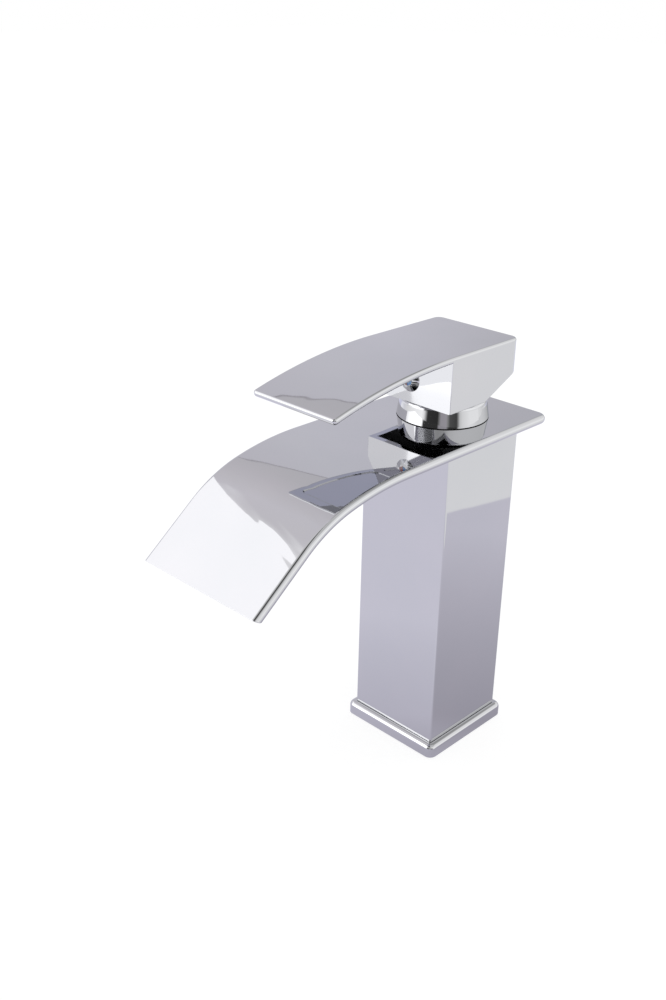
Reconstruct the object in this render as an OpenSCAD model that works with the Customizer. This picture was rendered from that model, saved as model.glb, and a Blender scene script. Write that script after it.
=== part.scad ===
// Single-lever waterfall basin faucet, in millimetres.
// Origin: centre of the foot's underside. +Z up, -Y towards the spout's lip, +X to the
// right of someone who stands in front of the basin.

/* [Column] */
// Width of the square column
column_w = 44.6; // [42:0.2:50]
// Wall of the column casing
column_wall = 1.6; // [1.2:0.1:1.8]
// Radius of the column's four upright edges
column_edge_r = 1; // [0.5:0.1:2]
// Height of the spout plate's underside above the deck
body_h = 143.2; // [130:0.2:220]

/* [Foot] */
// Width of the square foot
foot_w = 50.4; // [49:0.2:60]
// Height of the foot's slab
foot_h = 6.1; // [5:0.1:9]
// Radius of the foot's four plan corners
foot_corner_r = 3; // [2:0.1:4]
// Radius of the foot's top edge
foot_edge_r = 1.8; // [0.8:0.1:2.8]
// How far the groove under the column goes in
groove_in = 0.4; // [0.2:0.1:0.8]
// Height of the groove between the foot and the column
groove_h = 0.3; // [0.2:0.1:0.6]

/* [Spout] */
// Width of the spout plate over its rounded rails
spout_w = 61; // [56:1:80]
// Thickness of the spout plate
spout_t = 3.8; // [3.6:0.1:5]
// From the column's axis to the plate's back edge
spout_back = 31.8; // [27:0.2:40]
// From the column's axis to the end of the flat part
spout_flat = 55; // [40:1:90]
// Top radius of the first, gentle bend
gentle_r = 124; // [80:1:200]
// Turn of the gentle bend, in degrees
gentle_turn = 14; // [8:1:20]
// Top radius of the second bend
steep_r = 59; // [40:1:100]
// Turn of the second bend, in degrees
steep_turn = 24; // [16:1:32]
// Length of the straight run down to the lip
drop_len = 28.6; // [22:0.2:40]
// Plan radius of the plate's back corners
back_corner_r = 4.5; // [2.8:0.1:8]
// Width of each solid rail beside the water channel
rail_w = 4.8; // [4:0.1:7]
// Wall above and below the water channel
skin = 1; // [0.8:0.1:1.2]
// Length of the solid nose at the lip
nose = 3.6; // [3:0.1:5]
// Undercut of the lip's end face, in degrees
lip_turn = 24; // [0:1:30]
// Length of the outlet slot under the lip
slot_len = 6; // [4:0.5:9]

/* [Handle] */
// Width of the handle block and its lever
handle_w = 42; // [38:0.2:48]
// Height of the handle's flat top above the spout plate
handle_h = 32.8; // [31.8:0.2:40]
// From the handle's axis to its front face
handle_front = 21.5; // [19:0.5:24]
// From the handle's axis to its back face
handle_back = 19.8; // [18:0.2:24]
// Lowest part of the block, above the spout plate
handle_gap = 10.2; // [9.6:0.1:10.8]
// Thickness of the lever plate
lever_t = 2.7; // [2.6:0.1:4]
// Top radius of the lever's curve
lever_r = 239; // [180:1:400]
// Reach of the lever's front edge from the handle's axis
lever_reach = 84.6; // [60:0.2:110]
// Plan radius of the handle's back corners
handle_corner_r = 3.5; // [1:0.1:6]
// Wall of the hollow handle block
handle_wall = 2.8; // [2:0.1:3.5]
// Upward travel of the lever, in degrees
lift_turn = 25; // [15:1:27]

/* [Indicator] */
// Height of the indicator below the handle's top
indicator_drop = 13.3; // [12.6:0.1:15]
// Radius of the domed button
button_r = 5; // [4:0.1:5.5]
// How far the button stands out from the block
button_rise = 1.8; // [1.4:0.1:2.8]
// Radius of the coloured inlay
mark_r = 2.2; // [1.4:0.1:2.6]

/* [Cartridge] */
// Diameter of the cartridge
cartridge_d = 34.8; // [34:0.1:35]
// Height of the cartridge from its floor to its shoulder
cartridge_h = 23.5; // [22.5:0.1:26]
// Diameter of the cartridge's neck
neck_d = 27.8; // [27:0.1:28.6]
// Height of the stem's pivot above the spout plate's underside
pivot_h = 2.8; // [2.4:0.1:3.2]
// Length of the stem's arm, from the pivot to its ball
arm_len = 10.5; // [10:0.1:11]
// Width of the square stem end
stem_w = 7.6; // [6.4:0.1:8]
// Length of the square stem end above the pivot
stem_len = 25; // [20:0.5:27]
// Diameter of the pivot pin
pin_d = 3; // [2:0.1:3.4]
// Sideways offset of each inlet port
port_x = 8.5; // [8:0.1:8.7]
// Forward offset of the inlet ports
port_y = 3; // [2.8:0.1:3.2]
// Radius of each inlet port
port_r = 2.75; // [2:0.05:2.9]
// Backward offset of the outlet port
outlet_y = 7.5; // [7:0.1:8]
// Radius of the outlet port
outlet_r = 4; // [3:0.1:4.2]

/* [Supply] */
// Wall radius of the threaded hose inlets, M10 x 1
inlet_r = 4.5; // [4.4:0.05:4.6]
// Depth of the threaded hose inlets
inlet_depth = 12; // [9:0.5:14]
// Wall radius of the threaded stud hole, M8
stud_r = 3.4; // [3.3:0.05:3.5]
// Depth of the stud hole
stud_depth = 14; // [10:0.5:18]
// Backward offset of the stud hole
stud_y = 10.5; // [9:0.1:12]
// Outer diameter of the copper inlet tubes
tube_d = 8; // [7:0.1:8.4]
// Wall of the copper inlet tubes
tube_wall = 1; // [0.7:0.1:1.4]

/* [Hidden] */
$fn = 96;

// Clearances: fixed fits, brazed joints, running fits, the film between ceramic discs
fit = 0.05;
braze = 0.1;
running = 0.15;
film = 0.02;
// How far a cut runs past the face that it opens
overrun = 1;
// Lap between two runs of the spout, and how far each run's section draws in
lap = 0.3;
hair = 0.02;

// Levels of the stack
foot_top = foot_h + groove_h;
plate_top = body_h + spout_t;
pivot_z = body_h + pivot_h;
block_w = column_w - 2 * column_wall - 2 * braze;
channel_h = spout_t - 2 * skin;
channel_w = spout_w - 2 * rail_w;
rebate = 1.2;

// Retaining nut and the bores that take it
nut_thread_r = 18;
nut_depth = 8;
collar_h = 4.6;
collar_r = 15.9;
nut_slot = 3;
shoulder_z = plate_top - nut_depth;
cart_z = shoulder_z - cartridge_h;
cart_bore_r = cartridge_d / 2 + running;
bore_wall = 1.4;
boss_r = nut_thread_r + fit + bore_wall;

// Outlet risers in the front corners of the valve body
riser_r = 2.4;
riser_wall = 1.3;
riser_at = (boss_r + riser_wall + riser_r) * sqrt(1 / 2);
gallery_r = 3;
gallery_roof = 2;
gallery_z = cart_z - gallery_r - gallery_roof;

// Valve body and tubes
socket_depth = 8;
socket_r = tube_d / 2 + fit;
tube_r = tube_d / 2;
tube_bore_r = tube_r - tube_wall;
valve_z = gallery_z - gallery_r - socket_depth;
block_web = 4;
block_h = inlet_depth + socket_depth + block_web;
ring_r = 0.6;
ring_groove = 1.25;
ring_at = 2.5;

// Spigot of the inlet block, and the deck seal between it and the foot's edge
ledge = 2.5;
spigot_w = block_w - 2 * ledge;
spigot_r = 2;
seal_h = 1.5;
seal_band = 2.6;
seal_out_w = (foot_w + spigot_w) / 2 + seal_band;

// Cartridge stack, measured from its floor
base_flange_h = 3.5;
disc_seat = 5.5;
disc_t = 4.5;
moving_t = 4;
shell_wall = 1.2;
shoulder_t = 1.6;
shell_bore_r = cartridge_d / 2 - shell_wall;
neck_wall = 1;
neck_bore_r = neck_d / 2 - neck_wall;
neck_h = 14.5;
peg_r = 1.5;
peg_len = 3;
peg_x = 13;
peg_y = 5;
seal_w = 1.3;
seal_gap = 0.25;
port_seal_h = 1.5;
disc_seal_h = 1;
seat_wall = 1.2;
disc_r = shell_bore_r - fit - seat_wall - fit;
moving_z = cart_z + disc_seat + disc_t + film;
carrier_z = moving_z + moving_t;
slide_len = arm_len * sin(lift_turn);
moving_r = shell_bore_r - running - slide_len / 2;
pocket_depth = 2.5;
pocket_wall = 3.3;
pocket_r = moving_r - pocket_wall;
ball_r = 2.9;
ball_gap = 0.25;
cup_r = ball_r + ball_gap;
cup_wall = 1.65;
flange_t = 2.9;
rotor_z = shoulder_z - shoulder_t - fit - flange_t;
carrier_t = rotor_z - 2 * running - carrier_z;
ball_z = pivot_z - arm_len;
cup_floor = 1;
cup_over = 2.2;
cup_top = ball_z + cup_over;
lug_w = 4;
lug_in = 2;
lug_h = 2;
rotor_r = neck_bore_r - running;
rotor_top = shoulder_z + neck_h - 2 * running;
hub_r = 4.2;
hub_w = 8;
arm_r = 2;
slot_gap = 0.3;

// Trim ring on the spout plate: the lifted block's underside clears it
handle_top = plate_top + handle_h;
handle_floor = plate_top + handle_gap;
washer_t = 0.3;
trim_base_r = 18.8;
trim_top_r = 17.8;
trim_shoulder = 2.2;
trim_top = pivot_z + (handle_floor - pivot_z) * cos(lift_turn) - 2 * running;
trim_h = trim_top - plate_top - washer_t;
trim_open_r = neck_d / 2 + 2 * running;
trim_bore_h = 4.8;

// Handle details
edge_r = 1;
under_edge_r = 1.4;
lever_flat = handle_front;
lever_turn = asin((lever_reach - lever_flat) / lever_r);
lever_corner_r = 1.6;
nose_turn = 2 * lever_corner_r / lever_r * 180 / PI;
recess_depth = 0.8;
recess_side = 3.4;
recess_front = 7;
recess_gap = 1.5;
boss_wall = 3;
boss_w = stem_w + 2 * boss_wall;
boss_drop = 2;
roof_t = 3;
screw_r = 2.5;
screw_boss_r = 4.6;
screw_socket_r = 1.45;
screw_socket_depth = 2.5;
shank_r = 2.95;
shank_len = 3;
mark_depth = 0.6;
mark_split = 0.1;
indicator_z = handle_top - indicator_drop;

// Flow guide in the channel's straight run
guide_floor = 0.5;
guide_inset = 2;
rib_w = 1;
rib_pitch = 5.8;

// Plan outline with four rounded corners
module rounded_rect(w, d, r) {
    square([w - 2 * r, d], center = true);
    square([w, d - 2 * r], center = true);
    for (x = [-1, 1], y = [-1, 1])
        translate([x * (w / 2 - r), y * (d / 2 - r)]) circle(r);
}

// Upright outline with a flat foot and two rounded top corners
module arch(w, h, r) {
    translate([-w / 2, 0]) square([w, h - r]);
    translate([-w / 2 + r, 0]) square([w - 2 * r, h]);
    for (x = [-1, 1]) translate([x * (w / 2 - r), h - r]) circle(r);
}

// Slab with rounded plan corners and a rounded top edge
module soft_slab(w, h, corner, edge) {
    intersection() {
        linear_extrude(h) rounded_rect(w, w, corner);
        translate([0, w / 2, 0]) rotate([90, 0, 0]) linear_extrude(w) arch(w, h, edge);
        translate([-w / 2, 0, 0]) rotate([90, 0, 90]) linear_extrude(w) arch(w, h, edge);
    }
}

module tube(outer, inner, h) {
    difference() {
        cylinder(r = outer, h = h);
        translate([0, 0, -overrun]) cylinder(r = inner, h = h + 2 * overrun);
    }
}

// Copies at the two inlets, cold on the right and hot on the left
module at_inlets() {
    for (side = [-1, 1]) translate([side * port_x, -port_y, 0]) children();
}

// Sweep along the spout: sections have x upwards from the top face, y across
module straight(len) {
    translate([0, -len, 0]) rotate([-90, -90, 0]) linear_extrude(len) children();
}

module bend(r, turn) {
    translate([0, 0, -r]) rotate([180, -90, 0])
        rotate_extrude(angle = turn, $fn = 360) translate([r, 0]) children();
}

module past_bend(r, turn) {
    translate([0, 0, -r]) rotate([turn, 0, 0]) translate([0, 0, r]) children();
}

module at_drop() {
    translate([0, -spout_flat, plate_top])
        past_bend(gentle_r, gentle_turn) past_bend(steep_r, steep_turn) children();
}

// Each run's section is a hair smaller than the one before and starts inside it, so that
// the runs join into one solid and no face lies on another. The bends of a cut run on a
// little past those of the solid that it cuts, so that their ends don't meet either
module along_spout(start, drop, past = 0) {
    lap_turn = lap / steep_r * 180 / PI;
    translate([0, start, plate_top]) straight(start + spout_flat) { $inset = 0; children(); }
    translate([0, -spout_flat, plate_top]) {
        bend(gentle_r, gentle_turn + past / gentle_r * 180 / PI) { $inset = 0; children(); }
        past_bend(gentle_r, gentle_turn) past_bend(steep_r, -lap_turn)
            bend(steep_r, steep_turn + lap_turn + past / steep_r * 180 / PI) {
                $inset = hair;
                children();
            }
    }
    at_drop() translate([0, lap, 0]) straight(drop + lap) { $inset = 2 * hair; children(); }
}

// Strip of the section between two depths below the top face
module strip(top, bottom, w) {
    translate([-bottom + $inset, -w / 2 + $inset])
        square([bottom - top - 2 * $inset, w - 2 * $inset]);
}

module rail_section() {
    strip(0, spout_t, spout_w - spout_t);
    for (y = [-1, 1])
        translate([-spout_t / 2, y * (spout_w - spout_t) / 2]) circle(spout_t / 2 - $inset);
}

// Half of the plate's edge outline, turned about a plan corner of radius r
module edge_profile(r) {
    translate([0, -spout_t]) square([r - spout_t / 2, spout_t]);
    intersection() {
        translate([r - spout_t / 2, -spout_t / 2]) circle(d = spout_t);
        translate([0, -spout_t]) square([r, spout_t]);
    }
}

// Rounded back edge of the spout plate
module spout_back_edge() {
    reach = spout_w / 2 - back_corner_r;
    translate([0, spout_back - back_corner_r, plate_top]) {
        translate([-reach, 0, 0]) rotate([90, 0, 90]) linear_extrude(2 * reach)
            edge_profile(back_corner_r);
        translate([reach, 0, 0]) rotate_extrude(angle = 90) edge_profile(back_corner_r);
        translate([-reach, 0, 0]) rotate([0, 0, 90])
            rotate_extrude(angle = 90) edge_profile(back_corner_r);
    }
}

module base_flange() {
    color("silver") difference() {
        union() {
            soft_slab(foot_w, foot_h, foot_corner_r, foot_edge_r);
            linear_extrude(foot_top)
                rounded_rect(column_w - 2 * groove_in, column_w - 2 * groove_in,
                             column_edge_r);
        }
        translate([0, 0, -overrun]) linear_extrude(foot_top + 2 * overrun)
            rounded_rect(spigot_w + 2 * braze, spigot_w + 2 * braze, spigot_r + braze);
        translate([0, 0, -overrun]) linear_extrude(seal_h + overrun) seal_outline(0);
    }
}

module seal_outline(gap) {
    difference() {
        rounded_rect(seal_out_w - 2 * gap, seal_out_w - 2 * gap, spigot_r + seal_band);
        rounded_rect(seal_out_w - 2 * seal_band + 2 * gap,
                     seal_out_w - 2 * seal_band + 2 * gap, spigot_r);
    }
}

module deck_seal() {
    color("dimgray") linear_extrude(seal_h) seal_outline(fit);
}

module column_casing() {
    inside = column_w - 2 * column_wall;
    color("gainsboro") translate([0, 0, foot_top]) linear_extrude(body_h - foot_top)
        difference() {
            rounded_rect(column_w, column_w, column_edge_r);
            square(inside, center = true);
        }
}

// Groove and ring on an inlet tube
module ring_cut(z) {
    translate([0, 0, z]) rotate_extrude()
        translate([tube_r, -ring_groove / 2]) square([ring_groove, ring_groove]);
}

module o_ring(z) {
    translate([0, 0, z]) rotate_extrude()
        translate([tube_r + fit / 2 + ring_r, 0]) circle(ring_r);
}

module inlet_block() {
    color("goldenrod") difference() {
        union() {
            linear_extrude(foot_top + overrun) rounded_rect(spigot_w, spigot_w, spigot_r);
            translate([0, 0, foot_top]) linear_extrude(block_h - foot_top)
                square(block_w, center = true);
        }
        at_inlets() {
            translate([0, 0, -overrun]) cylinder(r = inlet_r, h = inlet_depth + overrun);
            cylinder(r = tube_bore_r, h = block_h);
            translate([0, 0, block_h - socket_depth])
                cylinder(r = socket_r, h = socket_depth + overrun);
            ring_cut(block_h - ring_at);
        }
        translate([0, stud_y, -overrun]) cylinder(r = stud_r, h = stud_depth + overrun);
    }
}

module inlet_tube(side) {
    from = block_h - socket_depth;
    translate([side * port_x, -port_y, from])
        tube(tube_r, tube_bore_r, valve_z + socket_depth - from);
}

module hot_inlet_tube() { color("peru") inlet_tube(-1); }
module cold_inlet_tube() { color("peru") inlet_tube(1); }

module tube_o_rings() {
    color("black") at_inlets() {
        o_ring(block_h - ring_at);
        o_ring(valve_z + ring_at);
    }
}

module valve_body() {
    color("goldenrod") difference() {
        translate([0, 0, valve_z]) linear_extrude(body_h - valve_z)
            square(block_w, center = true);
        // Cartridge bore, with the nut's thread above it
        translate([0, 0, cart_z])
            cylinder(r = cart_bore_r, h = body_h - cart_z + overrun);
        translate([0, 0, shoulder_z])
            cylinder(r = nut_thread_r + fit, h = body_h - shoulder_z + overrun);
        // Inlet ways
        at_inlets() {
            translate([0, 0, valve_z - overrun])
                cylinder(r = socket_r, h = socket_depth + overrun);
            translate([0, 0, valve_z]) cylinder(r = port_r, h = cart_z - valve_z + overrun);
            ring_cut(valve_z + ring_at);
        }
        // Outlet way: down, forward between the inlets and up both front corners
        translate([0, outlet_y, gallery_z]) cylinder(r = outlet_r, h = cart_z - gallery_z + overrun);
        translate([0, outlet_y, gallery_z]) rotate([90, 0, 0])
            cylinder(r = gallery_r, h = outlet_y + riser_at);
        translate([-riser_at, -riser_at, gallery_z]) rotate([0, 90, 0])
            cylinder(r = riser_r, h = 2 * riser_at);
        at_risers() translate([0, 0, gallery_z])
            cylinder(r = riser_r, h = body_h - gallery_z + overrun);
        // Holes for the cartridge's locating pegs
        at_pegs() translate([0, 0, cart_z - peg_len - fit])
            cylinder(r = peg_r + fit, h = peg_len + overrun);
    }
}

module at_risers() {
    for (side = [-1, 1]) translate([side * riser_at, -riser_at, 0]) children();
}

module at_pegs() {
    for (side = [-1, 1]) translate([side * peg_x, peg_y, 0]) children();
}

// The water channel starts just behind the risers
channel_start = -riser_at + riser_r + 2 * overrun;

module spout_top() {
    color("gainsboro") difference() {
        union() {
            along_spout(spout_back - back_corner_r, drop_len + overrun) rail_section();
            spout_back_edge();
        }
        difference() {
            union() {
                along_spout(channel_start, drop_len - nose, lap / 2)
                    strip(skin, skin + channel_h + overrun / 2, channel_w);
                along_spout(channel_start + rebate, drop_len - nose, lap)
                    strip(skin + channel_h, spout_t + overrun, channel_w + 2 * rebate);
            }
            translate([0, 0, body_h - overrun]) cylinder(r = boss_r, h = spout_t);
        }
        translate([0, 0, body_h - overrun])
            cylinder(r = nut_thread_r + fit, h = spout_t + 2 * overrun);
        // Undercut end face, down from the top edge of the lip
        at_drop() translate([-spout_w, -drop_len, 0]) rotate([lip_turn, 0, 0])
            translate([0, -spout_w, -spout_w]) cube([2 * spout_w, spout_w, 2 * spout_w]);
    }
}

module spout_underplate() {
    color("lightgray") difference() {
        along_spout(channel_start + rebate - braze, drop_len - nose - slot_len)
            strip(skin + channel_h, spout_t, channel_w + 2 * rebate - 2 * braze);
        translate([0, 0, body_h - overrun]) cylinder(r = boss_r + braze, h = spout_t);
        at_risers() translate([0, 0, body_h - overrun]) cylinder(r = riser_r, h = spout_t);
    }
}

module flow_guide() {
    len = drop_len - nose - slot_len - 2 * guide_inset;
    w = channel_w - 2 * running;
    ribs = floor((w / 2 - rib_w) / rib_pitch);
    color("whitesmoke") at_drop() translate([0, -guide_inset, -skin - channel_h]) {
        translate([-w / 2, -len, 0]) cube([w, len, guide_floor]);
        for (i = [-ribs : ribs])
            translate([i * rib_pitch - rib_w / 2, -len, 0])
                cube([rib_w, len, channel_h - fit]);
    }
}

module cartridge_base() {
    color("royalblue") translate([0, 0, cart_z]) difference() {
        union() {
            cylinder(d = cartridge_d, h = base_flange_h);
            cylinder(r = shell_bore_r - fit, h = disc_seat + disc_t);
            at_pegs() translate([0, 0, -peg_len]) cylinder(r = peg_r, h = peg_len + overrun);
        }
        translate([0, 0, disc_seat]) cylinder(r = disc_r + fit, h = disc_t + overrun);
        at_ports() translate([0, 0, -overrun]) cylinder(r = $port, h = disc_seat + 2 * overrun);
        at_ports() {
            translate([0, 0, -overrun])
                cylinder(r = $port + seal_gap + seal_w, h = port_seal_h + overrun);
            translate([0, 0, disc_seat - disc_seal_h])
                cylinder(r = $port + seal_gap + seal_w, h = disc_seal_h + overrun);
        }
    }
}

// Copies at the three ports of the cartridge, each with its own radius
module at_ports() {
    at_inlets() { $port = port_r; children(); }
    translate([0, outlet_y, 0]) { $port = outlet_r; children(); }
}

module seal_rings(z, h) {
    translate([0, 0, z]) at_ports()
        tube($port + seal_gap + seal_w - fit, $port + seal_gap, h);
}

module port_seals() { color("black") seal_rings(cart_z, port_seal_h); }

module disc_seals() {
    color("black") seal_rings(cart_z + disc_seat - disc_seal_h, disc_seal_h);
}

module fixed_disc() {
    color("ivory") translate([0, 0, cart_z + disc_seat]) difference() {
        cylinder(r = disc_r, h = disc_t);
        at_ports() translate([0, 0, -overrun]) cylinder(r = $port, h = disc_t + 2 * overrun);
    }
}

// The moving disc sits behind the axis when the tap is shut
disc_y = slide_len / 2;

module lugs(gap) {
    for (side = [-1, 1])
        translate([side * moving_r - lug_in - gap, -lug_w / 2 - gap, -gap])
            cube([2 * lug_in + 2 * gap, lug_w + 2 * gap, lug_h + overrun]);
}

module moving_disc() {
    // Front edge of the mixing pocket, just behind the shut inlet ports
    shut_y = port_r - port_y + 2 * seal_gap;
    color("ivory") translate([0, 0, moving_z]) difference() {
        translate([0, disc_y, 0]) cylinder(r = moving_r, h = moving_t);
        translate([0, 0, -overrun]) linear_extrude(pocket_depth + overrun) intersection() {
            translate([0, disc_y + 2 * seal_gap]) circle(pocket_r);
            translate([-moving_r, shut_y]) square(2 * moving_r);
        }
        translate([0, disc_y, moving_t - lug_h]) lugs(fit);
    }
}

module disc_carrier() {
    color("dodgerblue") difference() {
        union() {
            translate([0, disc_y, carrier_z]) cylinder(r = moving_r - fit, h = carrier_t);
            translate([0, 0, carrier_z]) cylinder(r = cup_r + cup_wall, h = cup_top - carrier_z);
            translate([0, disc_y, carrier_z - lug_h]) intersection() {
                lugs(0);
                cylinder(r = moving_r - fit, h = lug_h + overrun);
            }
        }
        translate([0, 0, carrier_z + cup_floor]) cylinder(r = cup_r, h = cartridge_h);
    }
}

module cartridge_shell() {
    from = cart_z + base_flange_h;
    color("royalblue") difference() {
        union() {
            translate([0, 0, from]) cylinder(d = cartridge_d, h = shoulder_z - from);
            translate([0, 0, from]) cylinder(d = neck_d, h = shoulder_z + neck_h - from);
        }
        translate([0, 0, from - overrun])
            cylinder(r = shell_bore_r, h = shoulder_z - shoulder_t - from + overrun);
        translate([0, 0, from]) cylinder(r = neck_bore_r, h = shoulder_z + neck_h);
    }
}

// Room for the stem between its shut and open positions
module stem_way() {
    reach = 2 * cartridge_h;
    way_y = 2 * (hub_r + slot_gap);
    translate([0, 0, pivot_z]) for (turn = [0, lift_turn]) rotate([-turn, 0, 0])
        cube([hub_w + 2 * slot_gap, way_y, reach], center = true);
    // Lower end: the carrier's cup slides forward here
    cup_w = 2 * (cup_r + cup_wall + slot_gap);
    translate([-cup_w / 2, -cup_w / 2 - slide_len, rotor_z - overrun])
        cube([cup_w, cup_w + slide_len, cup_top - rotor_z + overrun + slot_gap]);
}

module stem_rotor() {
    color("white") difference() {
        union() {
            translate([0, 0, rotor_z]) cylinder(r = shell_bore_r - running, h = flange_t);
            translate([0, 0, rotor_z]) cylinder(r = rotor_r, h = rotor_top - rotor_z);
        }
        stem_way();
        translate([-cartridge_d / 2, 0, pivot_z]) rotate([0, 90, 0])
            cylinder(d = pin_d + 2 * film, h = cartridge_d);
    }
}

module pivot_pin() {
    len = 2 * (rotor_r - pin_d / 4);
    color("lightgray") translate([-len / 2, 0, pivot_z]) rotate([0, 90, 0])
        cylinder(d = pin_d, h = len);
}

module cartridge_stem() {
    color("darkgray") difference() {
        translate([0, 0, pivot_z]) {
            translate([-stem_w / 2, -stem_w / 2, 0]) cube([stem_w, stem_w, stem_len]);
            translate([-hub_w / 2, 0, 0]) rotate([0, 90, 0]) cylinder(r = hub_r, h = hub_w);
            translate([0, 0, -arm_len]) {
                cylinder(r = arm_r, h = arm_len);
                sphere(ball_r);
            }
        }
        translate([-hub_w, 0, pivot_z]) rotate([0, 90, 0])
            cylinder(d = pin_d + 2 * fit, h = 2 * hub_w);
    }
}

module retaining_nut() {
    top = nut_depth + collar_h;
    color("goldenrod") translate([0, 0, shoulder_z]) difference() {
        union() {
            cylinder(r = nut_thread_r, h = nut_depth);
            cylinder(r = collar_r, h = top);
        }
        translate([0, 0, -overrun]) cylinder(r = neck_d / 2 + running, h = top + 2 * overrun);
        for (turn = [0, 90]) rotate([0, 0, turn])
            translate([-collar_r - overrun, -nut_slot / 2, top - collar_h / 2])
                cube([2 * collar_r + 2 * overrun, nut_slot, collar_h]);
    }
}

module trim_washer() {
    color("black") translate([0, 0, plate_top])
        tube(trim_base_r - 2 * fit - washer_t, collar_r + fit, washer_t);
}

module trim_ring() {
    cone_h = trim_h - trim_shoulder;
    color("silver") translate([0, 0, plate_top + washer_t]) rotate_extrude() difference() {
        union() {
            polygon([[0, 0], [trim_base_r, 0], [trim_top_r, cone_h], [0, cone_h]]);
            square([trim_top_r - trim_shoulder, trim_h]);
            translate([trim_top_r - trim_shoulder, cone_h]) circle(trim_shoulder);
        }
        translate([0, -overrun]) square([collar_r + fit, trim_bore_h + overrun]);
        translate([0, -overrun]) square([trim_open_r, trim_h + 2 * overrun]);
    }
}

// Side outline of the handle block below the lever plate, x back and y up
module block_outline() {
    rise = handle_back * tan(lift_turn);
    roof = handle_top - (edge_r + lever_t - under_edge_r) / 2;
    polygon([[-handle_front, handle_floor], [0, handle_floor],
             [handle_back, handle_floor + rise], [handle_back, roof],
             [-handle_front, roof]]);
}

module across(w) {
    translate([-w / 2, 0, 0]) rotate([90, 0, 90]) linear_extrude(w) children();
}

// Flat bar, w wide and t thick below y = 0, with small top edges and larger lower edges
module edged_bar(w, t) {
    translate([-w / 2 + under_edge_r, -t]) square([w - 2 * under_edge_r, t]);
    translate([-w / 2 + edge_r, -edge_r]) square([w - 2 * edge_r, edge_r]);
    translate([-w / 2, -t + under_edge_r]) square([w, t - under_edge_r - edge_r]);
    for (side = [-1, 1]) {
        translate([side * (w / 2 - edge_r), -edge_r]) circle(edge_r);
        translate([side * (w / 2 - under_edge_r), -t + under_edge_r]) circle(under_edge_r);
    }
}

// Section of the lever plate, x upwards from its top face and y across
module lever_section(inset) {
    rotate([0, 0, -90]) translate([0, -inset])
        edged_bar(handle_w - 2 * inset, lever_t - 2 * inset);
}

module lever_plate() {
    long = 4 * lever_corner_r;
    translate([0, 0, handle_top]) {
        translate([0, handle_back, 0]) straight(handle_back + lever_flat) lever_section(0);
        translate([0, -lever_flat, 0]) {
            bend(lever_r, lever_turn - nose_turn) lever_section(0);
            // Straight end of the lever, rounded at its front edges and corners
            past_bend(lever_r, lever_turn - nose_turn) intersection() {
                translate([0, lap, 0]) straight(long) lever_section(hair);
                across(handle_w) edged_bar(long, lever_t);
                translate([0, 0, -lever_t - overrun]) linear_extrude(lever_t + 2 * overrun)
                    rounded_rect(handle_w, long, lever_corner_r);
            }
        }
    }
}

// Shallow recess in the underside of the curved part
module lever_recess() {
    from = recess_gap / lever_r * 180 / PI;
    to = lever_turn - recess_front / lever_r * 180 / PI;
    w = handle_w - 2 * recess_side;
    translate([0, -lever_flat, handle_top]) past_bend(lever_r, from) bend(lever_r, to - from)
        translate([-lever_t - overrun, -w / 2]) square([recess_depth + overrun, w]);
}

// Plan outline with two rounded back corners
module handle_plan() {
    long = handle_back + lever_reach + overrun;
    translate([-handle_w / 2, -lever_reach - overrun])
        square([handle_w, long - handle_corner_r]);
    translate([-handle_w / 2 + handle_corner_r, handle_back - long / 2])
        square([handle_w - 2 * handle_corner_r, long / 2]);
    for (side = [-1, 1])
        translate([side * (handle_w / 2 - handle_corner_r), handle_back - handle_corner_r])
            circle(handle_corner_r);
}

// Side outline that rounds the top edge of the back face
module handle_side() {
    long = handle_back + lever_reach + overrun;
    translate([-lever_reach - overrun, plate_top]) square([long, handle_h - edge_r]);
    translate([-lever_reach - overrun, plate_top]) square([long - edge_r, handle_h]);
    translate([handle_back - edge_r, handle_top - edge_r]) circle(edge_r);
}

module handle_lever() {
    inner_w = handle_w - 2 * handle_wall;
    roof = handle_top - roof_t;
    socket_w = stem_w + 2 * fit;
    socket_top = pivot_z + stem_len + running;
    color("silver") difference() {
        intersection() {
            union() {
                lever_plate();
                across(handle_w) block_outline();
            }
            translate([0, 0, plate_top]) linear_extrude(handle_top) handle_plan();
            across(handle_w) handle_side();
        }
        lever_recess();
        // Hollow, open below, around the socket and the screw's boss
        difference() {
            translate([-inner_w / 2, -handle_front + handle_wall, plate_top])
                cube([inner_w, handle_front + handle_back - 2 * handle_wall, roof - plate_top]);
            translate([-boss_w / 2, -boss_w / 2, handle_floor + boss_drop])
                cube([boss_w, boss_w, handle_top - handle_floor]);
            translate([0, 0, indicator_z]) rotate([90, 0, 0])
                cylinder(r = screw_boss_r, h = handle_front);
        }
        translate([-socket_w / 2, -socket_w / 2, plate_top])
            cube([socket_w, socket_w, socket_top - plate_top]);
        translate([0, 0, indicator_z]) rotate([90, 0, 0]) {
            cylinder(r = screw_r + fit, h = handle_front);
            translate([0, 0, handle_front - shank_len - fit])
                cylinder(r = shank_r + fit, h = shank_len + overrun);
        }
    }
}

module grub_screw() {
    from = stem_w / 2 + fit;
    len = handle_front - shank_len - 2 * fit - from;
    color("dimgray") translate([0, -from, indicator_z]) rotate([90, 0, 0]) difference() {
        cylinder(r = screw_r, h = len);
        translate([0, 0, len - screw_socket_depth])
            cylinder(r = screw_socket_r, h = screw_socket_depth + overrun, $fn = 6);
    }
}

// Local frame of the indicator: z out of the block's front face
module at_button() {
    translate([0, -handle_front, indicator_z]) rotate([90, 0, 0]) children();
}

dome_r = (button_r * button_r + button_rise * button_rise) / (2 * button_rise);

module button_dome() {
    intersection() {
        translate([0, 0, button_rise - dome_r]) sphere(dome_r);
        cylinder(r = button_r + overrun, h = button_rise + overrun);
    }
}

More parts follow.
